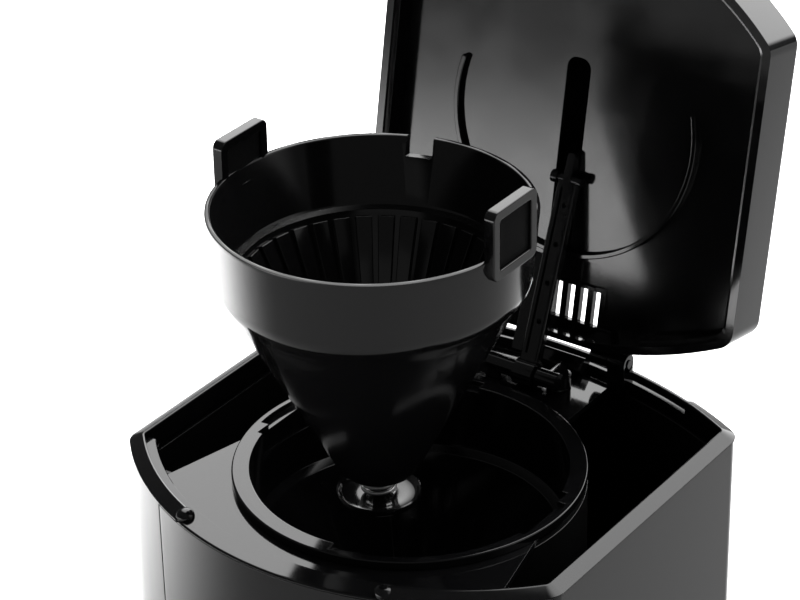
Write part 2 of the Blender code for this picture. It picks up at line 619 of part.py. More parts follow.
def drip_valve():
    """The stem, its seal and its spring under the basket's outlet."""
    top = BASKET_RIM - CONE_DEPTH
    disc = BASKET_RIM - VALVE_DEPTH
    profile = [(0.0, top + 8.0), (2.4, top + 8.0), (2.4, disc), (14.5, disc), (15.0, disc + 2.0),
               (16.0, disc + 2.0), (16.0, disc - 0.5), (14.0, disc - 1.6), (0.0, disc - 1.6)]
    stem = turned("valve_stem", profile, 0.0, 0.0, GLOSS_BLACK, 24, closed=False)
    seal = turned("valve_seal", [(2.7, top + 6.4), (8.0, top + 5.4), (8.0, top + 3.4), (2.7, top + 3.4)],
                  0.0, 0.0, SILICONE, 20)
    turns = 2.6
    low = disc + 1.2
    high = top - 1.2
    count = int(turns * 14)
    coil = []
    for step in range(count + 1):
        angle = 2 * math.pi * turns * step / count
        coil.append((6.1 * math.cos(angle), 6.1 * math.sin(angle), low + (high - low) * step / count))
    spring = tube("valve_spring", coil, 0.6, STEEL, 1)
    return stem, seal, spring


def carafe():
    low = CARAFE_BOTTOM
    inside = CARAFE_RADIUS - 2.0
    outer = [(0.0, low), (56.0, low), (61.0, low + 3.0), (CARAFE_RADIUS, low + 22.0),
             (CARAFE_RADIUS, low + 40.0), (60.0, low + 75.0), (51.0, low + 100.0), (49.0, low + 112.0),
             (52.0, low + 118.0)]
    inner = [(50.0, low + 118.0), (47.2, low + 112.0), (49.0, low + 99.0), (58.0, low + 74.0),
             (inside, low + 39.0), (inside, low + 22.5), (59.5, low + 5.0), (55.0, low + 2.2),
             (0.0, low + 2.2)]
    glass = turned("carafe_glass", (outer + inner)[::-1], 0.0, 0.0, GLASS, 32, closed=False)
    hoop = [(53.4, low + 108.0), (53.4, low + 98.0), (52.6, low + 98.0), (52.6, low + 108.0)]
    band = turned("carafe_band", hoop, 0.0, 0.0, STEEL, 32)
    profile = [(0.0, low + 129.0), (6.0, low + 128.0), (46.0, low + 132.0), (52.0, low + 128.0),
               (53.0, low + 119.0), (46.2, low + 119.0), (46.2, low + 112.0), (44.4, low + 112.0),
               (44.4, low + 124.0), (8.0, low + 121.0), (0.0, low + 122.0)]
    lid_body = turned("carafe_lid", profile, 0.0, 0.0, MATTE_BLACK, 32, closed=False)
    cut(lid_body, rod("drip_hole", 0.0, 0.0, low + 100.0, low + 150.0, 4.0, None, 12))
    handle = box("carafe_handle", (-8.0, -101.0, low + 30.0), (8.0, -54.2, low + 117.0), MATTE_BLACK)
    cut(handle, box("finger_gap", (-20.0, -91.0, low), (20.0, -50.0, low + 98.0)))
    return [glass, band, lid_body, handle]


def cord_gland():
    profile = [(0.0, 10.0), (7.0, 10.0), (7.0, 6.0), (5.0, 6.0), (5.0, -4.0), (0.0, -4.0)]
    made = turned("cord_gland", profile, 0.0, 0.0, RUBBER, 16, closed=False)
    made.rotation_euler = (-math.pi / 2, 0.0, 0.0)
    made.location = (GLAND[0] * MM, 98.8 * MM, GLAND[1] * MM)


feet()
base_plate()
base_screws()
base_housing()
switch()
hot_plate()
water_path()
column_housing()
head_housing()
front_fascia()
deck()
brew_well()
water_tank()
pivot_pipe()
cord_gland()

lid_axis = empty("lid_hinge", 0.0, HINGE_Y, HINGE_Z)
hang(lid_axis, lid(), lid_liner())
lid_axis.rotation_euler = (-LID_OPEN, 0.0, 0.0)

arm_axis = empty("arm_pivot", ARM_X, ARM_Y, ARM_Z)
hang(arm_axis, *spray_arm())
arm_axis.rotation_euler = (-ARM_OPEN, 0.0, 0.0)

basket_axis = empty("basket_lift", 0.0, 0.0, 0.0)
hang(basket_axis, filter_basket(), *drip_valve())
basket_axis.location = tuple(value * MM for value in LIFT)

hang(empty("carafe_slide", 0.0, 0.0, CARAFE_BOTTOM), *carafe())

stand = empty("stand", 0.0, 0.0, 0.0)
for piece in list(parts.objects):
    if piece.parent is None and piece is not stand:
        piece.parent = stand
stand.location = (0.0, SHIFT_Y * MM, 0.0)
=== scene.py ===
"""Drip coffee maker: glossy black body, lid open, spray arm up, filter basket lifted out of its well.

Pieces are drawn in millimetres round the centre of the well and are put into the frame by TO_FRAME.
"""
import math

import bmesh
import bpy
from mathutils import Matrix, Vector


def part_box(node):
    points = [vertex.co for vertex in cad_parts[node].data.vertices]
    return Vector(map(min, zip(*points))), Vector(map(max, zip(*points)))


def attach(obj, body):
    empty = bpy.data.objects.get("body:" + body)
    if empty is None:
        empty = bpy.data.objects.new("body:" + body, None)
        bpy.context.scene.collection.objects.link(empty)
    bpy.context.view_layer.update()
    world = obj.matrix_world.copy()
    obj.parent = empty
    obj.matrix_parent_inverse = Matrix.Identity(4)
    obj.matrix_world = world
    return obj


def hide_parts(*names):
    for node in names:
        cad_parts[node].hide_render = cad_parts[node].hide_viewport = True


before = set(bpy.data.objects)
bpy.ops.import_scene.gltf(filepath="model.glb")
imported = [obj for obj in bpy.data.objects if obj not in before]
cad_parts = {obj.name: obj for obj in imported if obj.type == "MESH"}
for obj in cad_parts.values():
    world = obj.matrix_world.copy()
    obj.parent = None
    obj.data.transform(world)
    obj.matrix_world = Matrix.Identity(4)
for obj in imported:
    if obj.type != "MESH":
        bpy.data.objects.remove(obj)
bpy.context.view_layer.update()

MM = 0.001
well_low, well_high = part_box("brew_well")
TO_FRAME = Matrix.Translation((0.0, (well_low[1] + well_high[1]) / 2, 0.0)) @ Matrix.Scale(MM, 4)

# Heights that the frame gives, in millimetres.
RING_TOP = well_high[2] / MM
WELL_BOTTOM = well_low[2] / MM
DECK_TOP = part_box("deck")[1][2] / MM
RIM_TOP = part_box("front_fascia")[1][2] / MM
HEAD_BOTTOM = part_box("head_housing")[0][2] / MM
BASE_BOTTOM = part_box("base_housing")[0][2] / MM
BASE_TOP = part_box("base_housing")[1][2] / MM
BASKET_RIM = RING_TOP - 1.0

# Plan of the body.
HALF_WIDTH = 98.0
FRONT_RADIUS = 131.0
FRONT_CENTRE = 38.0
BACK_RADIUS = 195.0
BACK_CENTRE = -88.0
CORNER = 9.0
SEAM_X = 59.8
BEAD_END_X = 46.0
RING_RADIUS = 68.0
WELL_RADIUS = 61.0
CHANNEL_RADIUS = 65.6
PLATE_HOLE_RADIUS = 67.4
POST_X = 34.0
KNUCKLE_X = 25.6
RISER = (14.0, 84.0)
SIDES = ((-1, "left"), (1, "right"))
BEYOND = 120.0

# How far the outlet and the valve's foot hang below the basket's rim.
OUTLET_DEPTH = 110.4
FOOT_DEPTH = 121.6

# The three things that rest away from the place they are drawn in.
HINGE = (98.0, 327.5)
ARM = (3.0, 78.0, 322.3)
LID_OPEN = 100.5
ARM_RAISED = 112.2
SWING_LID = Matrix.Translation((0.0, *HINGE)) @ Matrix.Rotation(math.radians(-LID_OPEN), 4, "X") \
    @ Matrix.Translation((0.0, -HINGE[0], -HINGE[1]))
SWING_ARM = Matrix.Translation(ARM) @ Matrix.Rotation(math.radians(-ARM_RAISED), 4, "X") \
    @ Matrix.Translation((-ARM[0], -ARM[1], -ARM[2]))
LIFT_BASKET = Matrix.Translation((0.0, -20.2, 119.6))


# ---------------------------------------------------------------- camera, floor and light

def aim_camera():
    """A long lens from the right front, looking down on the head."""
    azimuth, elevation, roll = math.radians(35.57), math.radians(28.98), math.radians(-1.12)
    back = Vector((math.sin(azimuth) * math.cos(elevation), -math.cos(azimuth) * math.cos(elevation),
                   math.sin(elevation)))
    target = TO_FRAME @ Vector((-13.17, 14.2, RING_TOP + 60.0))
    distance = 1.10334
    data = bpy.data.cameras.new("camera")
    data.sensor_width = 36.0
    data.lens = 131.7
    data.clip_end = 30.0
    camera = bpy.data.objects.new("camera", data)
    bpy.context.scene.collection.objects.link(camera)
    turn = (-back).to_track_quat("-Z", "Y").to_matrix().to_4x4() @ Matrix.Rotation(roll, 4, "Z")
    camera.matrix_world = Matrix.Translation(target + back * distance) @ turn
    bpy.context.scene.camera = camera
    bpy.context.scene.view_settings.view_transform = "Standard"


def floor_and_backdrop():
    """One wide sheet of pale paper, which is floor and backdrop in one."""
    bm = bmesh.new()
    bmesh.ops.create_grid(bm, x_segments=1, y_segments=1, size=6.0)
    mesh = bpy.data.meshes.new("floor")
    bm.to_mesh(mesh)
    bm.free()
    floor = bpy.data.objects.new("floor", mesh)
    bpy.context.scene.collection.objects.link(floor)
    paper = bpy.data.materials.new("pale_paper")
    paper.use_nodes = True
    shader = paper.node_tree.nodes["Principled BSDF"]
    shader.inputs["Base Color"].default_value = (0.45, 0.45, 0.45, 1.0)
    shader.inputs["Roughness"].default_value = 0.9
    mesh.materials.append(paper)


def pool_of_light(name, place, toward, spread, blend, power):
    """A soft spot that brightens one part of the floor and leaves no highlight of its own."""
    data = bpy.data.lights.new(name, "SPOT")
    data.energy = power
    data.spot_size = math.radians(spread)
    data.spot_blend = blend
    data.shadow_soft_size = 0.3
    light = bpy.data.objects.new(name, data)
    bpy.context.scene.collection.objects.link(light)
    light.location = place
    light.rotation_euler = (Vector(toward) - Vector(place)).to_track_quat("-Z", "Y").to_euler()
    light.visible_glossy = False
    light.visible_camera = False


def floor_lights():
    """Three spots that wash the paper out to white behind the machine and at its left."""
    pool_of_light("behind", (-0.55, 1.0, 2.0), (-0.55, 1.02, 0.0), 54.0, 0.8, 1300.0)
    pool_of_light("left", (-0.9, -0.1, 1.5), (-0.9, -0.1, 0.0), 33.0, 1.0, 1600.0)
    pool_of_light("front_left", (-1.2, -2.0, 2.2), (-1.2, -2.0, 0.0), 64.0, 1.0, 2300.0)


def studio_world():
    """A dim room with a bright window high behind the machine and a faint one at its right."""
    world = bpy.data.worlds.new("studio")
    bpy.context.scene.world = world
    world.use_nodes = True
    nodes, links = world.node_tree.nodes, world.node_tree.links
    nodes.clear()
    place = nodes.new("ShaderNodeTexCoord")

    def lobe(direction, low, high, weak, strong):
        """Light that rises smoothly from weak at cosine low to strong at cosine high."""
        dot = nodes.new("ShaderNodeVectorMath")
        dot.operation = "DOT_PRODUCT"
        dot.inputs[1].default_value = Vector(direction).normalized()
        links.new(place.outputs["Generated"], dot.inputs[0])
        ramp = nodes.new("ShaderNodeMapRange")
        ramp.interpolation_type = "SMOOTHSTEP"
        ramp.inputs["From Min"].default_value = low
        ramp.inputs["From Max"].default_value = high
        ramp.inputs["To Min"].default_value = weak
        ramp.inputs["To Max"].default_value = strong
        links.new(dot.outputs["Value"], ramp.inputs["Value"])
        return ramp.outputs["Result"]

    total = nodes.new("ShaderNodeMath")
    total.operation = "ADD"
    links.new(lobe((-0.12, 0.75, 0.64), 0.7, 0.86, 0.12, 4.7), total.inputs[0])
    links.new(lobe((0.75, 0.5, 0.35), 0.8, 0.97, 0.0, 0.8), total.inputs[1])
    background = nodes.new("ShaderNodeBackground")
    output = nodes.new("ShaderNodeOutputWorld")
    links.new(total.outputs["Value"], background.inputs["Strength"])
    links.new(background.outputs["Background"], output.inputs["Surface"])


# ---------------------------------------------------------------- finishes

def finish(name, colour, roughness, grain=(900.0, 0.02), spread=0.03, metallic=0.0, wave=0.0,
           stretch=None, shade=0.25, **settings):
    """A procedural finish: drifting roughness, fine surface grain and a little colour variation."""
    made = bpy.data.materials.new(name)
    made.use_nodes = True
    nodes, links = made.node_tree.nodes, made.node_tree.links
    shader = nodes["Principled BSDF"]
    shader.inputs["Metallic"].default_value = metallic
    for socket, value in settings.items():
        shader.inputs[socket.replace("_", " ").title().replace("Ior", "IOR")].default_value = value
    place = nodes.new("ShaderNodeTexCoord").outputs["Object"]
    if stretch:
        mapping = nodes.new("ShaderNodeMapping")
        mapping.inputs["Scale"].default_value = stretch
        links.new(place, mapping.inputs["Vector"])
        place = mapping.outputs["Vector"]

    def noise(scale, detail, low, high):
        texture = nodes.new("ShaderNodeTexNoise")
        texture.inputs["Scale"].default_value = scale
        texture.inputs["Detail"].default_value = detail
        links.new(place, texture.inputs["Vector"])
        ramp = nodes.new("ShaderNodeMapRange")
        ramp.inputs["From Min"].default_value = 0.3
        ramp.inputs["From Max"].default_value = 0.7
        ramp.inputs["To Min"].default_value = low
        ramp.inputs["To Max"].default_value = high
        links.new(texture.outputs["Fac"], ramp.inputs["Value"])
        return ramp.outputs["Result"]

    links.new(noise(45.0, 6.0, roughness - spread, roughness + spread), shader.inputs["Roughness"])
    tint = nodes.new("ShaderNodeMix")
    tint.data_type = "RGBA"
    tint.inputs["A"].default_value = (*[value * (1.0 - shade) for value in colour], 1.0)
    tint.inputs["B"].default_value = (*[value * (1.0 + shade) for value in colour], 1.0)
    links.new(noise(grain[0] * 0.6, 3.0, 0.0, 1.0), tint.inputs["Factor"])
    links.new(tint.outputs["Result"], shader.inputs["Base Color"])
    bump = nodes.new("ShaderNodeBump")
    bump.inputs["Strength"].default_value = 1.0
    bump.inputs["Distance"].default_value = grain[1] * MM
    links.new(noise(grain[0], 4.0, 0.0, 1.0), bump.inputs["Height"])
    if wave:
        swell = nodes.new("ShaderNodeBump")
        swell.inputs["Strength"].default_value = 1.0
        swell.inputs["Distance"].default_value = wave * MM
        links.new(noise(14.0, 1.0, 0.0, 1.0), swell.inputs["Height"])
        links.new(swell.outputs["Normal"], bump.inputs["Normal"])
    links.new(bump.outputs["Normal"], shader.inputs["Normal"])
    return made


GLOSS = finish("gloss_black_plastic", (0.0055, 0.0055, 0.006), 0.085, (700.0, 0.0012), 0.03,
               wave=0.012)
POLISHED = finish("polished_basket_plastic", (0.0055, 0.0055, 0.0058), 0.11, (800.0, 0.0008), 0.03,
                  wave=0.003)
LINER = finish("lid_liner_plastic", (0.006, 0.006, 0.0062), 0.12, (900.0, 0.0015), 0.03, wave=0.02)
SATIN = finish("satin_inner_plastic", (0.008, 0.008, 0.0082), 0.3, (1200.0, 0.006), 0.05)
TEXTURED = finish("textured_black_plastic", (0.02, 0.02, 0.021), 0.5, (2600.0, 0.03), 0.06)
RUBBER = finish("foot_rubber", (0.018, 0.018, 0.018), 0.75, (1800.0, 0.05), 0.08)
SILICONE = finish("milky_silicone", (0.6, 0.6, 0.57), 0.42, (600.0, 0.01), 0.06, shade=0.06,
                  subsurface_weight=0.2)
STEEL = finish("brushed_steel", (0.6, 0.6, 0.61), 0.24, (320.0, 0.004), 0.07, metallic=1.0,
               stretch=(1.0, 14.0, 1.0), shade=0.08)
SPRING_STEEL = finish("spring_steel", (0.8, 0.8, 0.8), 0.36, (900.0, 0.002), 0.05, metallic=1.0,
                      shade=0.1)
BLACK_STEEL = finish("blackened_steel", (0.035, 0.035, 0.036), 0.2, (900.0, 0.003), 0.05, metallic=1.0,
                     shade=0.2)
# Darker, barely reflecting black for the right ear's pocket floors: painted shade in those recesses.
POCKET_SHADE_PAINT = finish("pocket_plastic_painted_shade", (0.004, 0.004, 0.0042), 0.5, (1800.0, 0.01), 0.05, ior=1.1)
COATING = finish("plate_coating", (0.035, 0.035, 0.037), 0.38, (1500.0, 0.02), 0.08, metallic=0.2,
                 shade=0.5)
CAST = finish("cast_aluminium", (0.62, 0.62, 0.63), 0.42, (700.0, 0.05), 0.08, metallic=1.0, shade=0.12)
GLASS = finish("clear_glass", (0.96, 0.98, 0.98), 0.02, (120.0, 0.001), 0.012, shade=0.01,
               transmission_weight=1.0, ior=1.47)
LENS = finish("red_lens", (0.42, 0.012, 0.008), 0.12, (900.0, 0.004), 0.03, transmission_weight=0.35)


# ---------------------------------------------------------------- modelling helpers

def piece(name, bm, surface, body, nodes=(), turn=None, edge=0.0, segments=2, sharp=32.0):
    """Close a drawing, put it in the frame and hand it over as a finished piece."""
    bmesh.ops.remove_doubles(bm, verts=bm.verts, dist=0.002)
    bmesh.ops.recalc_face_normals(bm, faces=bm.faces)
    bm.transform(TO_FRAME @ turn if turn else TO_FRAME)
    mesh = bpy.data.meshes.new(name)
    bm.to_mesh(mesh)
    bm.free()
    mesh.materials.append(surface)
    mesh.shade_smooth()
    made = bpy.data.objects.new(name, mesh)
    bpy.context.scene.collection.objects.link(made)
    if edge:
        bevel = made.modifiers.new("edges", "BEVEL")
        bevel.width = edge * MM
        bevel.segments = segments
        bevel.limit_method = "ANGLE"
        bevel.angle_limit = math.radians(sharp)
        bevel.use_clamp_overlap = True
        normals = made.modifiers.new("normals", "WEIGHTED_NORMAL")
        normals.keep_sharp = True
    else:
        mesh.set_sharp_from_angle(angle=math.radians(sharp))
    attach(made, body)
    if nodes:
        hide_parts(*nodes)
    return made


def edges_since(bm, known):
    return [edge for edge in bm.edges if edge not in known]


def wire(bm, points):
    """An open chain of edges through points; gives its vertices."""
    made = [bm.verts.new(point) for point in points]
    for first, second in zip(made, made[1:]):
        bm.edges.new((first, second))
    return made


def spun_arc(bm, centre, radius, start, end, steps, z):
    """An arc drawn by spinning one point; gives its first and last vertex."""
    known = set(bm.verts)
    across, deep = radius * math.cos(start), radius * math.sin(start)
    first = bm.verts.new((centre[0] + across, centre[1] + deep, z))
    spun = bmesh.ops.spin(bm, geom=[first], cent=(centre[0], centre[1], z), axis=(0, 0, 1),
                          angle=end - start, steps=steps, use_duplicate=False)
    last = [item for item in spun["geom_last"] if isinstance(item, bmesh.types.BMVert)][0]
    return first, last


def outline(bm, inset, z, part="all", gap=0.0, least_corner=1.0):
    """The body's plan, moved inward: all of it, all but a gap at the front, or only that piece."""
    width, front, back = HALF_WIDTH - inset, FRONT_RADIUS - inset, BACK_RADIUS - inset
    corner = max(CORNER - inset, least_corner)
    across = width - corner
    front_y = FRONT_CENTRE - math.sqrt((front - corner) ** 2 - across ** 2)
    back_y = BACK_CENTRE + math.sqrt((back - corner) ** 2 - across ** 2)
    lean = math.atan2(front_y - FRONT_CENTRE, across)
    tip = math.atan2(back_y - BACK_CENTRE, across)
    known = set(bm.edges)
    if part == "front":
        reach = math.acos(gap / FRONT_RADIUS)
        spun_arc(bm, (0, FRONT_CENTRE), front, -math.pi + reach, -reach, 72, z)
        return edges_since(bm, known)
    ends = [spun_arc(bm, (across, back_y), corner, 0.0, tip, 8, z),
            spun_arc(bm, (0, BACK_CENTRE), back, tip, math.pi - tip, 48, z),
            spun_arc(bm, (-across, back_y), corner, math.pi - tip, math.pi, 8, z),
            spun_arc(bm, (-across, front_y), corner, -math.pi, -math.pi - lean, 10, z)]
    if part == "all":
        ends.append(spun_arc(bm, (0, FRONT_CENTRE), front, -math.pi - lean, lean, 72, z))
        ends.append(spun_arc(bm, (across, front_y), corner, lean, 0.0, 10, z))
    else:
        reach = math.acos(gap / FRONT_RADIUS)
        ends.append(spun_arc(bm, (0, FRONT_CENTRE), front, -math.pi - lean, -math.pi + reach, 16, z))
        loose = spun_arc(bm, (0, FRONT_CENTRE), front, -reach, lean, 16, z)
        last = spun_arc(bm, (across, front_y), corner, lean, 0.0, 10, z)
        bm.edges.new((loose[1], last[0]))
        bm.edges.new((last[1], ends[0][0]))
    for before, after in zip(ends, ends[1:]):
        bm.edges.new((before[1], after[0]))
    if part == "all":
        bm.edges.new((ends[-1][1], ends[0][0]))
    drawn = {vert for edge in edges_since(bm, known) for vert in edge.verts}
    bmesh.ops.remove_doubles(bm, verts=list(drawn), dist=0.001)
    return edges_since(bm, known)


def swept(section, part="all", gap=0.0, least_corner=1.0):
    """A closed section of (inset, height) points carried round the body's plan."""
    bm = bmesh.new()
    loops = [outline(bm, inset, z, part, gap, least_corner) for inset, z in section]
    for first, second in zip(loops, loops[1:] + loops[:1]):
        bmesh.ops.bridge_loops(bm, edges=first + second)
    if part != "all":
        bmesh.ops.holes_fill(bm, edges=[edge for edge in bm.edges if edge.is_boundary], sides=0)
    return bm


def filled(bottom, top, draw):
    """A flat plate: draw lays the edge loops of its outline and holes at the bottom height."""
    bm = bmesh.new()
    draw(bm, bottom)
    bmesh.ops.triangle_fill(bm, use_beauty=True, use_dissolve=False, edges=bm.edges[:])
    bmesh.ops.dissolve_limit(bm, angle_limit=0.001, verts=bm.verts, edges=bm.edges)
    raised = bmesh.ops.extrude_face_region(bm, geom=bm.faces[:])
    bmesh.ops.translate(bm, vec=(0, 0, top - bottom),
                        verts=[item for item in raised["geom"] if isinstance(item, bmesh.types.BMVert)])
    return bm


def ring_of(bm, points, z):
    made = wire(bm, [(x, y, z) for x, y in points])
    bm.edges.new((made[-1], made[0]))


def circle_of(bm, radius, z, steps):
    bmesh.ops.create_circle(bm, segments=steps, radius=radius, matrix=Matrix.Translation((0, 0, z)))


def lathe(profile, steps=96, closed=True):
    """A profile of (radius, height) points turned about the upright axis."""
    bm = bmesh.new()
    made = wire(bm, [(radius, 0.0, height) for radius, height in profile])
    if closed:
        bm.edges.new((made[-1], made[0]))
    bmesh.ops.spin(bm, geom=bm.verts[:] + bm.edges[:], cent=(0, 0, 0), axis=(0, 0, 1),
                   angle=2 * math.pi, steps=steps, use_merge=True, use_duplicate=False)
    bmesh.ops.remove_doubles(bm, verts=bm.verts, dist=0.002)
    bmesh.ops.recalc_face_normals(bm, faces=bm.faces)
    return bm


def rod(radius, bottom, top, steps=96):
    """An upright solid rod on the axis of the well."""
    return lathe([(0.0, bottom), (radius, bottom), (radius, top), (0.0, top)], steps, closed=False)


def moved(bm, x, y):
    bmesh.ops.translate(bm, vec=(x, y, 0.0), verts=bm.verts)
    return bm


def block(low, high):
    bm = bmesh.new()
    size = [b - a for a, b in zip(low, high)]
    middle = [(a + b) / 2 for a, b in zip(low, high)]
    place = Matrix.Translation(middle) @ Matrix.Diagonal((*size, 1.0))
    bmesh.ops.create_cube(bm, size=1.0, matrix=place)
    return bm


def slab(front, back, low, high):
    """A cutter that reaches past both sides of the body."""
    return block((-BEYOND, front, low), (BEYOND, back, high))


def eased(bm, edges, radius, segments=4):
    """The drawing with some of its edges rounded."""
    bmesh.ops.bevel(bm, geom=edges, offset=radius, segments=segments, profile=0.5, affect="EDGES",
                    material=-1, clamp_overlap=True)
    return bm


def rounded_block(low, high, radius, axis="Z", segments=4):
    """A block whose four edges along one axis are rounded."""
    bm = block(low, high)
    index = "XYZ".index(axis)
    along = [edge for edge in bm.edges
             if abs(edge.verts[0].co[index] - edge.verts[1].co[index]) > 0.01]
    return eased(bm, along, radius, segments)


def round_bar(start, end, radius, steps=32):
    """A round bar between two points."""
    bm = bmesh.new()
    along = Vector(end) - Vector(start)
    place = Matrix.Translation((Vector(start) + Vector(end)) / 2)
    turn = along.to_track_quat("Z", "Y").to_matrix().to_4x4()
    bmesh.ops.create_cone(bm, cap_ends=True, segments=steps, radius1=radius, radius2=radius,
                          depth=along.length, matrix=place @ turn)
    return bm


def merged(*drawings):
    """Several drawings laid into one."""
    whole = drawings[0]
    for other in drawings[1:]:
        mesh = bpy.data.meshes.new("laid_in")
        other.to_mesh(mesh)
        other.free()
        whole.from_mesh(mesh)
        bpy.data.meshes.remove(mesh)
    return whole


def shaped(bm, *others, operation="DIFFERENCE"):
    """The drawing with other drawings cut out of it, or joined on."""
    whole = bpy.data.meshes.new("whole")
    bmesh.ops.recalc_face_normals(bm, faces=bm.faces)
    bm.to_mesh(whole)
    bm.free()
    carrier = bpy.data.objects.new("whole", whole)
    bpy.context.scene.collection.objects.link(carrier)
    helpers = []
    for other in others:
        bmesh.ops.recalc_face_normals(other, faces=other.faces)
        mesh = bpy.data.meshes.new("helper")
        other.to_mesh(mesh)
        other.free()
        helper = bpy.data.objects.new("helper", mesh)
        bpy.context.scene.collection.objects.link(helper)
        step = carrier.modifiers.new("shape", "BOOLEAN")
        step.operation = operation
        step.solver = "EXACT"
        step.object = helper
        helpers.append(helper)
    graph = bpy.context.evaluated_depsgraph_get()
    result = bpy.data.meshes.new_from_object(carrier.evaluated_get(graph))
    fresh = bmesh.new()
    fresh.from_mesh(result)
    for item in [carrier, *helpers]:
        mesh = item.data
        bpy.data.objects.remove(item)
        bpy.data.meshes.remove(mesh)
    bpy.data.meshes.remove(result)
    bmesh.ops.dissolve_limit(fresh, angle_limit=0.002, verts=fresh.verts, edges=fresh.edges)
    return fresh


def sector(inner, outer, start, end, bottom, top, steps=40):
    """A block shaped like part of a ring."""
    def draw(bm, z):
        first = spun_arc(bm, (0, 0), inner, math.radians(start), math.radians(end), steps, z)
        second = spun_arc(bm, (0, 0), outer, math.radians(start), math.radians(end), steps, z)
        bm.edges.new((first[0], second[0]))
        bm.edges.new((first[1], second[1]))
    return filled(bottom, top, draw)


def tube_along(points, radius):
    """A round tube whose centre follows points."""
    curve = bpy.data.curves.new("path", "CURVE")
    curve.dimensions = "3D"
    curve.bevel_depth = radius
    curve.bevel_resolution = 4
    curve.use_fill_caps = True
    spline = curve.splines.new("POLY")
    spline.points.add(len(points) - 1)
    for point, place in zip(spline.points, points):
        point.co = (*place, 1.0)
    holder = bpy.data.objects.new("path", curve)
    bpy.context.scene.collection.objects.link(holder)
    graph = bpy.context.evaluated_depsgraph_get()
    mesh = bpy.data.meshes.new_from_object(holder.evaluated_get(graph))
    bm = bmesh.new()
    bm.from_mesh(mesh)
    bpy.data.objects.remove(holder)
    bpy.data.meshes.remove(mesh)
    bpy.data.curves.remove(curve)
    return bm


# ---------------------------------------------------------------- head: wall, bead, fascia and deck

def head_wall():
    """Side and back wall of the head with the floor that closes it below."""
    low, top = HEAD_BOTTOM + 0.8, RIM_TOP - 0.7
    wall = swept([(0.6, low), (0.6, top), (2.6, top), (2.6, low)], "open", SEAM_X)
    piece("head_wall", wall, GLOSS, "body", ["head_housing"], edge=0.35)

    def draw(bm, z):
        outline(bm, 0.8, z)
        circle_of(bm, 24.2, z, 64)
    under = filled(HEAD_BOTTOM, HEAD_BOTTOM + 2.5, draw)
    piece("head_floor", under, GLOSS, "body", edge=0.9, segments=3, sharp=50.0)


def rim_bead():
    """The rim's raised bead, open in the middle of the front, with a round knob at each end."""
    section = [(3.2, RIM_TOP - 0.6), (0.5, RIM_TOP - 0.6), (0.2, RIM_TOP - 0.3), (0.2, RIM_TOP + 0.1),
               (0.5, RIM_TOP + 0.4), (4.8, RIM_TOP + 2.6), (5.4, RIM_TOP + 2.8), (6.0, RIM_TOP + 2.6),
               (6.3, RIM_TOP + 2.0), (6.3, DECK_TOP + 0.5), (3.2, DECK_TOP + 0.5)]
    bead = swept(section, "open", BEAD_END_X)
    ends = [edge for edge in bead.edges if len(edge.link_faces) == 2
            and any(len(face.verts) == len(section) for face in edge.link_faces)]
    eased(bead, ends, 1.6)
    knob_inset, knob_reach = 4.4, 1.2
    knob_arc = FRONT_RADIUS - knob_inset
    knob_x = BEAD_END_X - knob_reach
    knob_y = FRONT_CENTRE - math.sqrt(knob_arc ** 2 - knob_x ** 2)
    dome = [(0.0, RIM_TOP - 0.5), (3.6, RIM_TOP - 0.5), (3.6, RIM_TOP + 0.6), (3.3, RIM_TOP + 1.6),
            (2.6, RIM_TOP + 2.4), (1.5, RIM_TOP + 2.9), (0.0, RIM_TOP + 3.0)]
    knobs = [moved(lathe(dome, 32, closed=False), side * knob_x, knob_y) for side, _ in SIDES]
    bead = shaped(bead, *knobs, operation="UNION")
    bead = shaped(bead, block((-70.0, 85.0, RIM_TOP - 2.5), (70.0, 120.0, 340.0)))
    piece("rim_bead", bead, GLOSS, "body", edge=0.2)


def fascia():
    """The curved front panel between the two seams, and the flat ledge inside the rim at the front."""
    low, top = HEAD_BOTTOM + 3.8, RIM_TOP - 1.2
    plain = swept([(0.6, low), (0.6, top), (2.6, top), (2.6, low)], "front", SEAM_X - 0.4)
    piece("front_fascia_panel", plain, GLOSS, "body", ["front_fascia"], edge=0.35)
    ledge = swept([(0.6, top + 0.1), (0.6, RIM_TOP - 0.7), (0.9, RIM_TOP - 0.3), (1.5, RIM_TOP),
                   (10.0, RIM_TOP), (10.4, RIM_TOP - 0.4), (10.4, DECK_TOP + 0.2),
                   (9.0, DECK_TOP + 0.2), (9.0, top + 0.1)])
    under_bead = swept([(-1.0, DECK_TOP), (-1.0, RIM_TOP + 4.0), (6.4, RIM_TOP + 4.0), (6.4, DECK_TOP)],
                       "open", BEAD_END_X - 0.2)
    ledge = shaped(ledge, under_bead, slab(-44.5, 140.0, 300.0, 340.0))
    piece("front_ledge", ledge, GLOSS, "body", edge=0.2)


FILL_EDGE = [(31.0, 120.0), (120.0, 120.0), (120.0, -20.0), (93.2, -28.0), (92.6, -36.0), (90.0, -42.5),
             (86.0, -47.5), (81.0, -51.5), (75.4, -54.2), (62.0, 4.0), (31.0, 20.0)]


def fill_cutters():
    """The two fill openings beside the ring, kept inside the bead."""
    for side in (-1, 1):
        block_out = filled(DECK_TOP - 20.0, DECK_TOP + 20.0,
                           lambda bm, z: ring_of(bm, [(side * x, y) for x, y in FILL_EDGE], z))
        limit = filled(DECK_TOP - 25.0, DECK_TOP + 25.0, lambda bm, z: outline(bm, 5.2, z))
        yield shaped(block_out, limit, operation="INTERSECT")


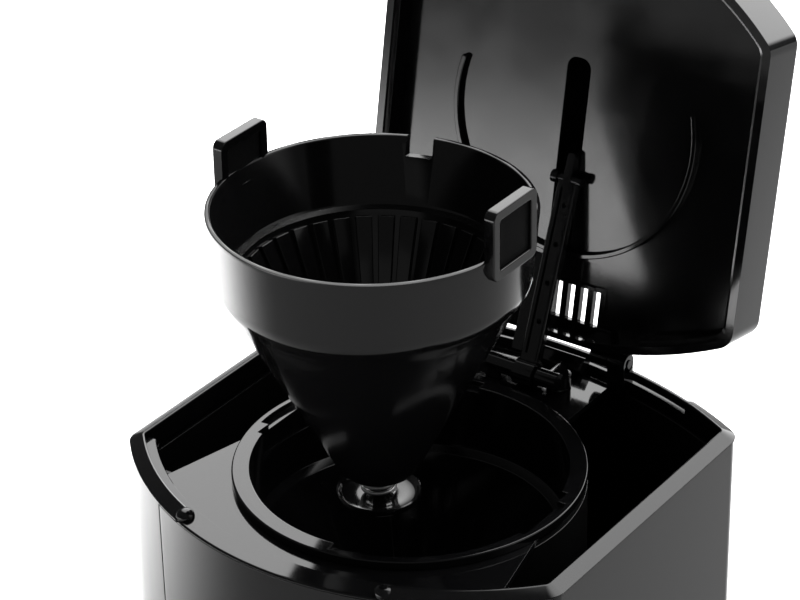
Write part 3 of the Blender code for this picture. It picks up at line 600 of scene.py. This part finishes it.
def deck():
    """The flat deck round the ring and its raised margin, both cut by the two fill openings."""
    def draw(bm, z):
        outline(bm, 9.6, z)
        circle_of(bm, 66.0, z, 128)
    panel = shaped(filled(DECK_TOP - 2.5, DECK_TOP, draw), *fill_cutters())
    piece("deck_panel", panel, GLOSS, "body", ["deck"], edge=0.35)

    def draw_margin(bm, z):
        outline(bm, 2.8, z)
        outline(bm, 9.2, z)
    margin = shaped(filled(DECK_TOP - 2.5, DECK_TOP + 0.35, draw_margin), *fill_cutters())
    piece("deck_margin", margin, GLOSS, "body", edge=0.3)


def well():
    """The funnel that takes the basket, its raised ring with two ear channels, and its inner ribs."""
    profile = [(WELL_RADIUS + 0.3, RING_TOP), (RING_RADIUS - 0.5, RING_TOP),
               (RING_RADIUS, RING_TOP - 0.5),
               (RING_RADIUS, DECK_TOP + 0.1), (65.0, DECK_TOP + 0.1), (65.0, 304.0), (63.0, 300.0),
               (63.0, 288.0), (26.0, 203.0), (22.0, 197.0), (22.0, 192.0), (9.0, 190.0),
               (7.0, WELL_BOTTOM), (5.0, WELL_BOTTOM), (5.0, 194.5), (19.5, 195.5), (20.0, 205.0), (57.0, 289.0),
               (WELL_RADIUS, 290.5), (WELL_RADIUS, RING_TOP - 0.3)]
    cutters = [sector(50.0, CHANNEL_RADIUS, start, start + 89.0, RING_TOP - 2.4, RING_TOP + 5.0)
               for start in (-82.0, 98.0)]
    cutters += [block((-61.7, -14.6, RING_TOP - 11.6), (61.7, 14.6, RING_TOP + 5.0))]
    body = shaped(lathe(profile, 144), *cutters)
    piece("well", body, GLOSS, "body", ["brew_well"], edge=0.25)
    ribs = bmesh.new()
    for index in range(12):
        turn = Matrix.Rotation(math.radians(30.0 * index + 15.0), 4, "Z")
        low, high = Vector((24.0, 0, 212.0)), Vector((56.0, 0, 284.0))
        middle, along = (low + high) / 2, high - low
        lean = Matrix.Rotation(math.atan2(along.x, along.z), 4, "Y")
        size = Matrix.Diagonal((2.4, 1.6, along.length, 1.0))
        bmesh.ops.create_cube(ribs, size=1.0, matrix=turn @ Matrix.Translation(middle) @ lean @ size)
    piece("well_ribs", ribs, GLOSS, "body", edge=0.4)


def tank():
    """The reservoir walls that show through the fill openings."""
    top, floor = DECK_TOP - 2.8, 198.0

    def draw(bm, z):
        outline(bm, 3.5, z)
    shell = filled(floor, top, draw)
    hollow = filled(floor + 3.0, top + 10.0, lambda bm, z: outline(bm, 6.0, z))
    sleeve = moved(rod(8.0, floor - 5.0, top + 20.0, 32), *RISER)
    wall = rod(RING_RADIUS, floor - 5.0, top + 20.0)
    front = slab(-BEYOND, -48.0, floor - 5.0, top + 20.0)
    hollow = shaped(hollow, sleeve, wall, front)
    bore = rod(65.6, floor - 9.0, top + 9.0)
    away = slab(-BEYOND, -50.0, floor - 9.0, top + 9.0)
    pipe_way = moved(rod(5.6, floor - 9.0, top + 9.0, 32), *RISER)
    shell = shaped(shell, hollow, bore, away, pipe_way)
    piece("tank_shell", shell, SATIN, "body", ["water_tank"], edge=0.5)


def column():
    """The back column, hollowed for the carafe, with its inner back wall."""
    bottom, top = BASE_TOP + 0.3, HEAD_BOTTOM - 0.3
    solid = filled(bottom, top, lambda bm, z: outline(bm, 1.0, z))
    bay = rod(75.0, 0.0, 250.0, 128)
    front = slab(-BEYOND, 20.0, 0.0, 250.0)
    solid = shaped(solid, bay, front)
    piece("column", solid, GLOSS, "body", ["column_housing"], edge=0.8, segments=3)


def base():
    """The base tub with its hot plate opening and its switch opening."""
    solid = filled(BASE_BOTTOM, BASE_TOP, lambda bm, z: outline(bm, 0.0, z))
    hole = rod(PLATE_HOLE_RADIUS, 43.0, 60.0)
    under = filled(0.0, BASE_TOP - 4.0, lambda bm, z: outline(bm, 2.5, z))
    switch_hole = block((-13.0, -110.0, 17.0), (13.0, -80.0, 33.0))
    gland_hole = round_bar((40.0, 90.0, 20.0), (40.0, 120.0, 20.0), 5.3)
    plate_way = rod(PLATE_HOLE_RADIUS, 30.0, 44.0)
    solid = shaped(solid, hole, under, plate_way, switch_hole, gland_hole)
    piece("base_tub", solid, GLOSS, "body", ["base_housing"], edge=1.2, segments=3)


def switch():
    """Bezel, push button and lamp lens in the front of the base."""
    front = FRONT_CENTRE - FRONT_RADIUS
    button_x, lamp_x, middle = -4.5, 7.5, 25.0
    facing = Matrix.Rotation(math.radians(-90.0), 4, "X")
    bezel = rounded_block((-12.6, front - 0.8, 17.4), (12.6, front + 8.0, 32.6), 3.0, "Y", 6)
    bezel = shaped(bezel,
                   round_bar((button_x, front - 5, middle), (button_x, front + 20, middle), 5.4, 64),
                   round_bar((lamp_x, front - 5, middle), (lamp_x, front + 20, middle), 2.3, 32))
    piece("switch_surround", bezel, TEXTURED, "body", ["switch_bezel"], edge=0.4)
    button = lathe([(0.0, 9.0), (5.0, 9.0), (5.0, -1.8), (4.7, -2.3), (4.1, -2.6), (3.2, -2.5),
                    (0.0, -2.2)], 64, closed=False)
    piece("push_button", button, GLOSS, "button", ["power_button"],
          turn=Matrix.Translation((button_x, front, middle)) @ facing, sharp=40.0)
    lens = lathe([(0.0, 8.5), (2.0, 8.5), (2.0, -0.6), (1.6, -1.0), (0.9, -1.2), (0.0, -1.25)], 48,
                 closed=False)
    piece("lamp_lens", lens, LENS, "body", ["indicator_lens"],
          turn=Matrix.Translation((lamp_x, front, middle)) @ facing, sharp=40.0)


# ---------------------------------------------------------------- lid

def lid_shell():
    """The lid's outer shell with its outlet window, and its tab, hinge knuckles and inner lip."""
    low, high = 318.0, 342.0
    body = filled(low, high, lambda bm, z: outline(bm, 12.0, z, least_corner=8.0))
    top_edges = [edge for edge in body.edges
                 if all(abs(vert.co.z - high) < 0.01 for vert in edge.verts)]
    eased(body, top_edges, 3.0)
    hollow = filled(low - 10.0, high - 2.4, lambda bm, z: outline(bm, 15.4, z, least_corner=6.0))
    hollow = shaped(hollow, slab(90.5, 140.0, 290.0, 360.0))
    back = slab(93.0, 140.0, 290.0, 380.0)
    outlet = rounded_block((-13.0, 70.0, 330.0), (27.0, 100.0, 360.0), 2.0, "Z")
    body = shaped(body, hollow, back, outlet)
    piece("lid_cover", body, GLOSS, "lid", ["lid_shell"], turn=SWING_LID, edge=0.5,
          segments=3)

    tab = swept([(1.2, 323.9), (1.2, 328.4), (1.8, 329.0), (13.0, 329.0), (13.0, 323.3), (1.8, 323.3)],
                "front", 44.0)
    piece("lid_tab", tab, GLOSS, "lid", turn=SWING_LID, edge=0.4)
    for side, hand in SIDES:
        x = side * KNUCKLE_X
        knuckle = merged(rounded_block((x - 4.0, 86.0, 325.0), (x + 4.0, 98.0, 330.0), 0.8, "Y"),
                         shaped(round_bar((x - 4.0, *HINGE), (x + 4.0, *HINGE), 3.8, 40),
                                round_bar((x - 6.0, *HINGE), (x + 6.0, *HINGE), 2.0, 32)))
        piece("lid_knuckle_" + hand, knuckle, GLOSS, "lid", turn=SWING_LID, edge=0.3)
    inner = swept([(15.5, 319.2), (15.5, 328.4), (17.6, 328.4), (17.2, 320.0)], least_corner=6.0)
    inner = shaped(inner, slab(84.0, 140.0, 290.0, 360.0))
    piece("lid_inner_lip", inner, LINER, "lid", turn=SWING_LID, edge=0.5)


def lid_liner():
    """The lid's inner panel: arm slot, ear pockets, steam louvres and the round rib over the basket."""
    low, high = 328.4, 330.4
    back, pitch = HINGE[0] - 5.4, 5.9
    plate = filled(low, high, lambda bm, z: outline(bm, 15.0, z, least_corner=6.0))
    arm_slot = rounded_block((-5.6, HINGE[0] - 117.5, 300.0), (5.2, HINGE[0] - 35.0, 360.0), 4.4,
                             segments=6)
    plate = shaped(plate, slab(back, 140.0, 300.0, 360.0), arm_slot)
    louvre = block((-2.0, HINGE[0] - 27.5, low - 0.8), (24.0, HINGE[0] - 9.0, high))
    slots = [block((0.6 + pitch * index, HINGE[0] - 25.5, 300.0),
                   (3.8 + pitch * index, HINGE[0] - 10.6, 360.0)) for index in range(4)]
    hollow = rounded_block((11.4, HINGE[0] - 36.5, 300.0), (19.6, HINGE[0] - 26.8, low + 0.8), 1.0)
    plate = shaped(shaped(plate, louvre, operation="UNION"), hollow, *slots)
    piece("lid_panel", plate, LINER, "lid", ["lid_liner"], turn=SWING_LID, edge=0.5,
          segments=3)

    centre = (0.5, HINGE[0] - 92.0)
    rib = sector(53.4, 55.6, -16.0, 196.0, low - 2.6, low + 0.2, 120)
    moved(rib, *centre)
    piece("lid_round_rib", rib, LINER, "lid", turn=SWING_LID, edge=0.5, segments=3)


def hinge_posts():
    """The two hinge posts and the block between them at the back of the head."""
    for side, hand in SIDES:
        x = side * POST_X
        post = merged(rounded_block((x - 4.0, 94.0, DECK_TOP - 2.0), (x + 4.0, 102.0, HINGE[1]), 0.8),
                      round_bar((x - 4.0, *HINGE), (x + 4.0, *HINGE), 4.0, 40))
        piece("hinge_post_" + hand, post, GLOSS, "body", edge=0.3)
    bracket = rounded_block((-4.0, 93.6, DECK_TOP - 1.0), (18.0, 101.5, 324.0), 3.6, "X", 1)
    bracket = shaped(bracket, block((-1.5, 92.0, 316.8), (5.5, 95.6, 320.2)),
                     block((7.5, 92.0, 316.8), (15.5, 97.6, 320.2)))
    piece("hinge_block", bracket, GLOSS, "body", edge=0.3)


# ---------------------------------------------------------------- spray arm

def spray_arm():
    """The arm with its hub, flange, spray holes and cross pin, drawn lying over the basket."""
    x, y, z = ARM
    tip = y - 88.0
    bar = rounded_block((x - 4.3, tip + 7.0, z - 1.8), (x + 4.3, y, z + 3.0), 1.2, "Y", 3)
    nose = rounded_block((x - 1.8, tip - 2.0, z - 2.2), (x + 1.8, tip + 12.0, z + 2.2), 1.5, "Z", 6)
    hub = round_bar((x - 4.5, y, z), (x + 4.5, y, z), 5.4, 48)
    flange = rounded_block((x - 9.0, y - 48.0, z - 1.2), (x, y - 8.0, z + 1.2), 0.6, "Y", 2)
    whole = shaped(bar, nose, hub, flange, operation="UNION")
    hole_x, first_hole, pitch = x + 1.2, tip + 19.0, 15.8
    holes = [round_bar((hole_x, first_hole + pitch * index, z - 6.0),
                       (hole_x, first_hole + pitch * index, z), 1.1, 20) for index in range(4)]
    groove = block((x - 2.0, tip + 12.0, z - 3.0), (x - 1.0, y - 8.0, z - 0.6))
    whole = shaped(whole, round_bar((x - 12.0, y, z), (x + 12.0, y, z), 4.0, 48), groove, *holes)
    piece("spray_arm_body", whole, POLISHED, "arm", ["spray_arm"], turn=SWING_ARM,
          edge=0.35)
    cross = (tip + 8.6, z - 0.4)
    pin = shaped(round_bar((x - 7.4, *cross), (x + 6.4, *cross), 1.6, 32),
                 round_bar((x - 7.4, *cross), (x - 4.5, *cross), 2.6, 32),
                 round_bar((x + 4.5, *cross), (x + 6.4, *cross), 2.1, 32), operation="UNION")
    piece("arm_pin", pin, BLACK_STEEL, "arm", ["arm_cross_pin"], turn=SWING_ARM, edge=0.35)


def feed_pipe():
    """The fixed cross pipe that the arm turns on, with its stay and its elbow to the riser."""
    x, y, z = ARM
    bar = round_bar((-15.0, y, z), (17.6, y, z), 3.7, 48)
    foot = moved(rod(5.0, DECK_TOP + 0.8, z, 40), *RISER)
    elbow = round_bar((RISER[0], y, z), (RISER[0], RISER[1] + 2.0, z), 3.6, 40)
    stay = rounded_block((-14.5, y - 3.0, DECK_TOP + 0.3), (-8.0, y + 3.0, z), 0.6, "Z", 2)
    whole = shaped(bar, foot, elbow, stay, operation="UNION")
    piece("feed_pipe", whole, POLISHED, "body", ["pivot_pipe"], edge=0.35)


# ---------------------------------------------------------------- filter basket and drip valve

def basket():
    """The cone basket: rim, outer band, ribbed inside, outlet and two framed ears."""
    rim = BASKET_RIM
    outside = [(59.3, rim), (59.9, rim - 0.25), (60.0, rim - 0.9), (59.85, rim - 2.0),
               (58.0, rim - 25.0), (57.8, rim - 26.4), (56.8, rim - 29.2), (55.2, rim - 31.8), (53.4, rim - 34.6),
               (52.6, rim - 36.2), (15.7, rim - 107.8), (14.8, rim - 109.4), (13.6, rim - OUTLET_DEPTH)]
    inside = [(7.8, rim - OUTLET_DEPTH), (7.8, rim - 106.6), (3.2, rim - 106.6), (3.2, rim - 104.4),
              (13.7, rim - 104.4), (50.2, rim - 29.0), (50.6, rim - 27.6), (53.6, rim - 27.0),
              (54.2, rim - 26.2), (57.7, rim - 0.9), (58.0, rim - 0.25), (58.5, rim)]
    wall = lathe(outside + inside, 160)
    notch = rounded_block((-22.2, 40.0, rim - 8.0), (-12.2, 70.0, rim + 5.0), 0.6, "Y", 2)
    wall = shaped(wall, notch)
    piece("basket_wall", wall, POLISHED, "basket", ["filter_basket"], turn=LIFT_BASKET,
          sharp=38.0)

    ribs = bmesh.new()
    upper, lower = Vector((49.2, 0, rim - 29.6)), Vector((13.6, 0, rim - 103.0))
    along = upper - lower
    lean = Matrix.Rotation(math.atan2(along.x, along.z), 4, "Y")
    for index in range(36):
        turn = Matrix.Rotation(math.radians(10.0 * index), 4, "Z")
        made = bmesh.ops.create_cube(ribs, size=1.0)["verts"]
        for vert in made:
            width = 6.4 if vert.co.z > 0 else 1.5
            vert.co = Vector((vert.co.x * 1.7, vert.co.y * width, vert.co.z * along.length))
        place = turn @ Matrix.Translation((upper + lower) / 2) @ lean
        bmesh.ops.transform(ribs, matrix=place, verts=made)
    piece("basket_ribs", ribs, POLISHED, "basket", turn=LIFT_BASKET, edge=0.35)

    frame_wide = 3.8
    for side, hand in SIDES:
        x, low, high = (59.0, rim - 8.0, rim + 19.0) if side > 0 else (-59.0, rim - 10.0, rim + 14.5)
        ear = rounded_block((x - 2.2, -13.6, low), (x + 2.2, 13.6, high), 3.2, "X", 6)
        pockets, inlays = [], []
        for face in (-1, 1):
            near, far = sorted((x + face * 0.7, x + face * 6.7))
            sill = low + frame_wide if face == side else max(low + frame_wide, rim - 7.0)
            pockets.append(rounded_block((near, -9.9, sill), (far, 9.9, high - frame_wide), 1.2, "X"))
            inlays.append(rounded_block((x + face * 0.95 - 0.2, -9.7, sill + 0.2),
                                        (x + face * 0.95 + 0.2, 9.7, high - 4.0), 1.1, "X"))
        ear = shaped(ear, *pockets)
        piece("basket_ear_" + hand, ear, POLISHED, "basket", turn=LIFT_BASKET, edge=0.45,
              segments=3)
        # Thin sheets on the pocket floors paint shade into the pockets; the right ear's sheets are darker and
        # duller than the left's.
        piece("ear_inlay_" + hand, merged(*inlays), SATIN if side < 0 else POCKET_SHADE_PAINT, "basket",
              turn=LIFT_BASKET)


def drip_valve():
    """The valve stem with its dished foot, and the coil spring round it."""
    top, disc = BASKET_RIM - OUTLET_DEPTH, BASKET_RIM - FOOT_DEPTH
    stem = lathe([(0.0, top + 8.0), (1.8, top + 8.0), (2.4, top + 7.4), (2.4, disc + 0.6),
                  (5.0, disc + 0.2), (13.4, disc), (14.5, disc + 0.8), (15.0, disc + 1.8), (15.5, disc + 2.1),
                  (16.0, disc + 1.8), (16.0, disc - 0.2), (15.4, disc - 1.0), (14.0, disc - 1.6),
                  (0.0, disc - 1.6)], 96, closed=False)
    piece("valve_foot", stem, POLISHED, "valve", ["valve_stem"], turn=LIFT_BASKET,
          sharp=50.0)
    turns, steps = 4.0, 160
    radius, thickness = 6.1, 0.75
    low, high = disc + 1.5, top - 0.4
    coil = []
    for step in range(steps + 1):
        angle = 2 * math.pi * turns * step / steps
        coil.append((radius * math.cos(angle), radius * math.sin(angle),
                     low + (high - low) * step / steps))
    piece("valve_coil", tube_along(coil, thickness), SPRING_STEEL, "valve", ["valve_spring"],
          turn=LIFT_BASKET, sharp=60.0)


# ---------------------------------------------------------------- carafe and hot plate

def carafe():
    """Glass bowl, lid, handle and the steel hoop round its neck."""
    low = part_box("carafe_glass")[0][2] / MM
    outer = [(0.0, low), (54.0, low), (57.5, low + 0.8), (61.0, low + 3.4), (63.6, low + 9.0),
             (65.4, low + 17.0), (66.0, low + 26.0), (65.8, low + 36.0), (64.8, low + 48.0),
             (62.9, low + 60.0), (60.0, low + 73.0), (56.2, low + 86.0), (52.0, low + 98.0),
             (49.8, low + 106.0), (49.3, low + 111.0), (50.2, low + 115.0), (52.0, low + 118.0)]
    inner = [(50.4, low + 118.0), (48.6, low + 114.6), (47.8, low + 110.6), (48.2, low + 105.6),
             (50.3, low + 97.4), (54.4, low + 85.3), (58.2, low + 72.4), (61.0, low + 59.6),
             (62.9, low + 47.7), (63.9, low + 35.8), (64.1, low + 26.0), (63.5, low + 17.4),
             (61.8, low + 9.8), (59.6, low + 5.2), (56.8, low + 2.9), (53.6, low + 2.2),
             (0.0, low + 2.2)]
    piece("carafe_bowl", lathe(outer + inner, 128, closed=False), GLASS, "carafe",
          ["carafe_glass"], sharp=50.0)
    top = [(0.0, low + 129.0), (6.0, low + 128.0), (10.0, low + 128.4), (44.0, low + 131.8),
           (47.5, low + 131.8), (50.8, low + 130.2), (52.6, low + 127.0), (53.0, low + 122.0),
           (52.8, low + 119.6), (52.2, low + 119.0), (46.4, low + 119.0), (46.2, low + 112.0),
           (44.4, low + 112.0), (44.4, low + 124.0), (8.0, low + 121.0), (0.0, low + 122.0)]
    piece("carafe_top", lathe(top, 96, closed=False), TEXTURED, "carafe",
          ["carafe_lid"], sharp=40.0)
    handle = rounded_block((-8.0, -101.0, low + 30.0), (8.0, -54.2, low + 117.0), 7.0, "X", 8)
    gap = rounded_block((-20.0, -91.0, low - 60.0), (20.0, -30.0, low + 98.0), 6.0, "X", 6)
    handle = shaped(handle, gap)
    piece("carafe_grip", handle, TEXTURED, "carafe", ["carafe_handle"], edge=2.2,
          segments=4)
    hoop = lathe([(53.4, low + 108.0), (53.4, low + 98.0), (52.6, low + 98.0), (52.6, low + 108.0)], 96)
    piece("carafe_hoop", hoop, STEEL, "carafe", ["carafe_band"], edge=0.2)


def hot_plate():
    """The warming plate with its shallow middle."""
    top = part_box("warming_plate")[1][2] / MM
    profile = [(0.0, top - 0.5), (20.0, top - 0.5), (22.0, top), (62.6, top), (64.8, top - 0.2),
               (66.0, top - 1.0), (66.3, top - 2.0), (66.3, 44.5), (64.8, 44.5), (64.8, top - 2.2),
               (0.0, top - 2.2)]
    piece("hot_plate_disc", lathe(profile, 128, closed=False), COATING, "body",
          ["warming_plate"], sharp=40.0)


KEPT_NODES = {
    TEXTURED: ["base_plate", "switch_body", "one_way_valve"],
    RUBBER: ["foot_1", "foot_2", "foot_3", "foot_4", "cord_gland"],
    SILICONE: ["plate_seal", "cold_hose", "riser_tube", "valve_seal"],
    STEEL: ["base_screw_1", "base_screw_2", "base_screw_3", "base_screw_4", "heater_bracket",
            "thermal_fuse"],
    BLACK_STEEL: ["lid_pin_left", "lid_pin_right"],
    CAST: ["heater_tube", "heating_element", "thermostat"],
}


def dress_kept_nodes():
    """The CAD pieces whose shape stays get their finish."""
    for surface, names in KEPT_NODES.items():
        for name in names:
            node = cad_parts[name]
            for slot in node.material_slots:
                slot.material = surface


aim_camera()
floor_and_backdrop()
studio_world()
floor_lights()
head_wall()
rim_bead()
fascia()
deck()
well()
tank()
column()
base()
switch()
lid_shell()
lid_liner()
hinge_posts()
spray_arm()
feed_pipe()
basket()
drip_valve()
carafe()
hot_plate()
dress_kept_nodes()
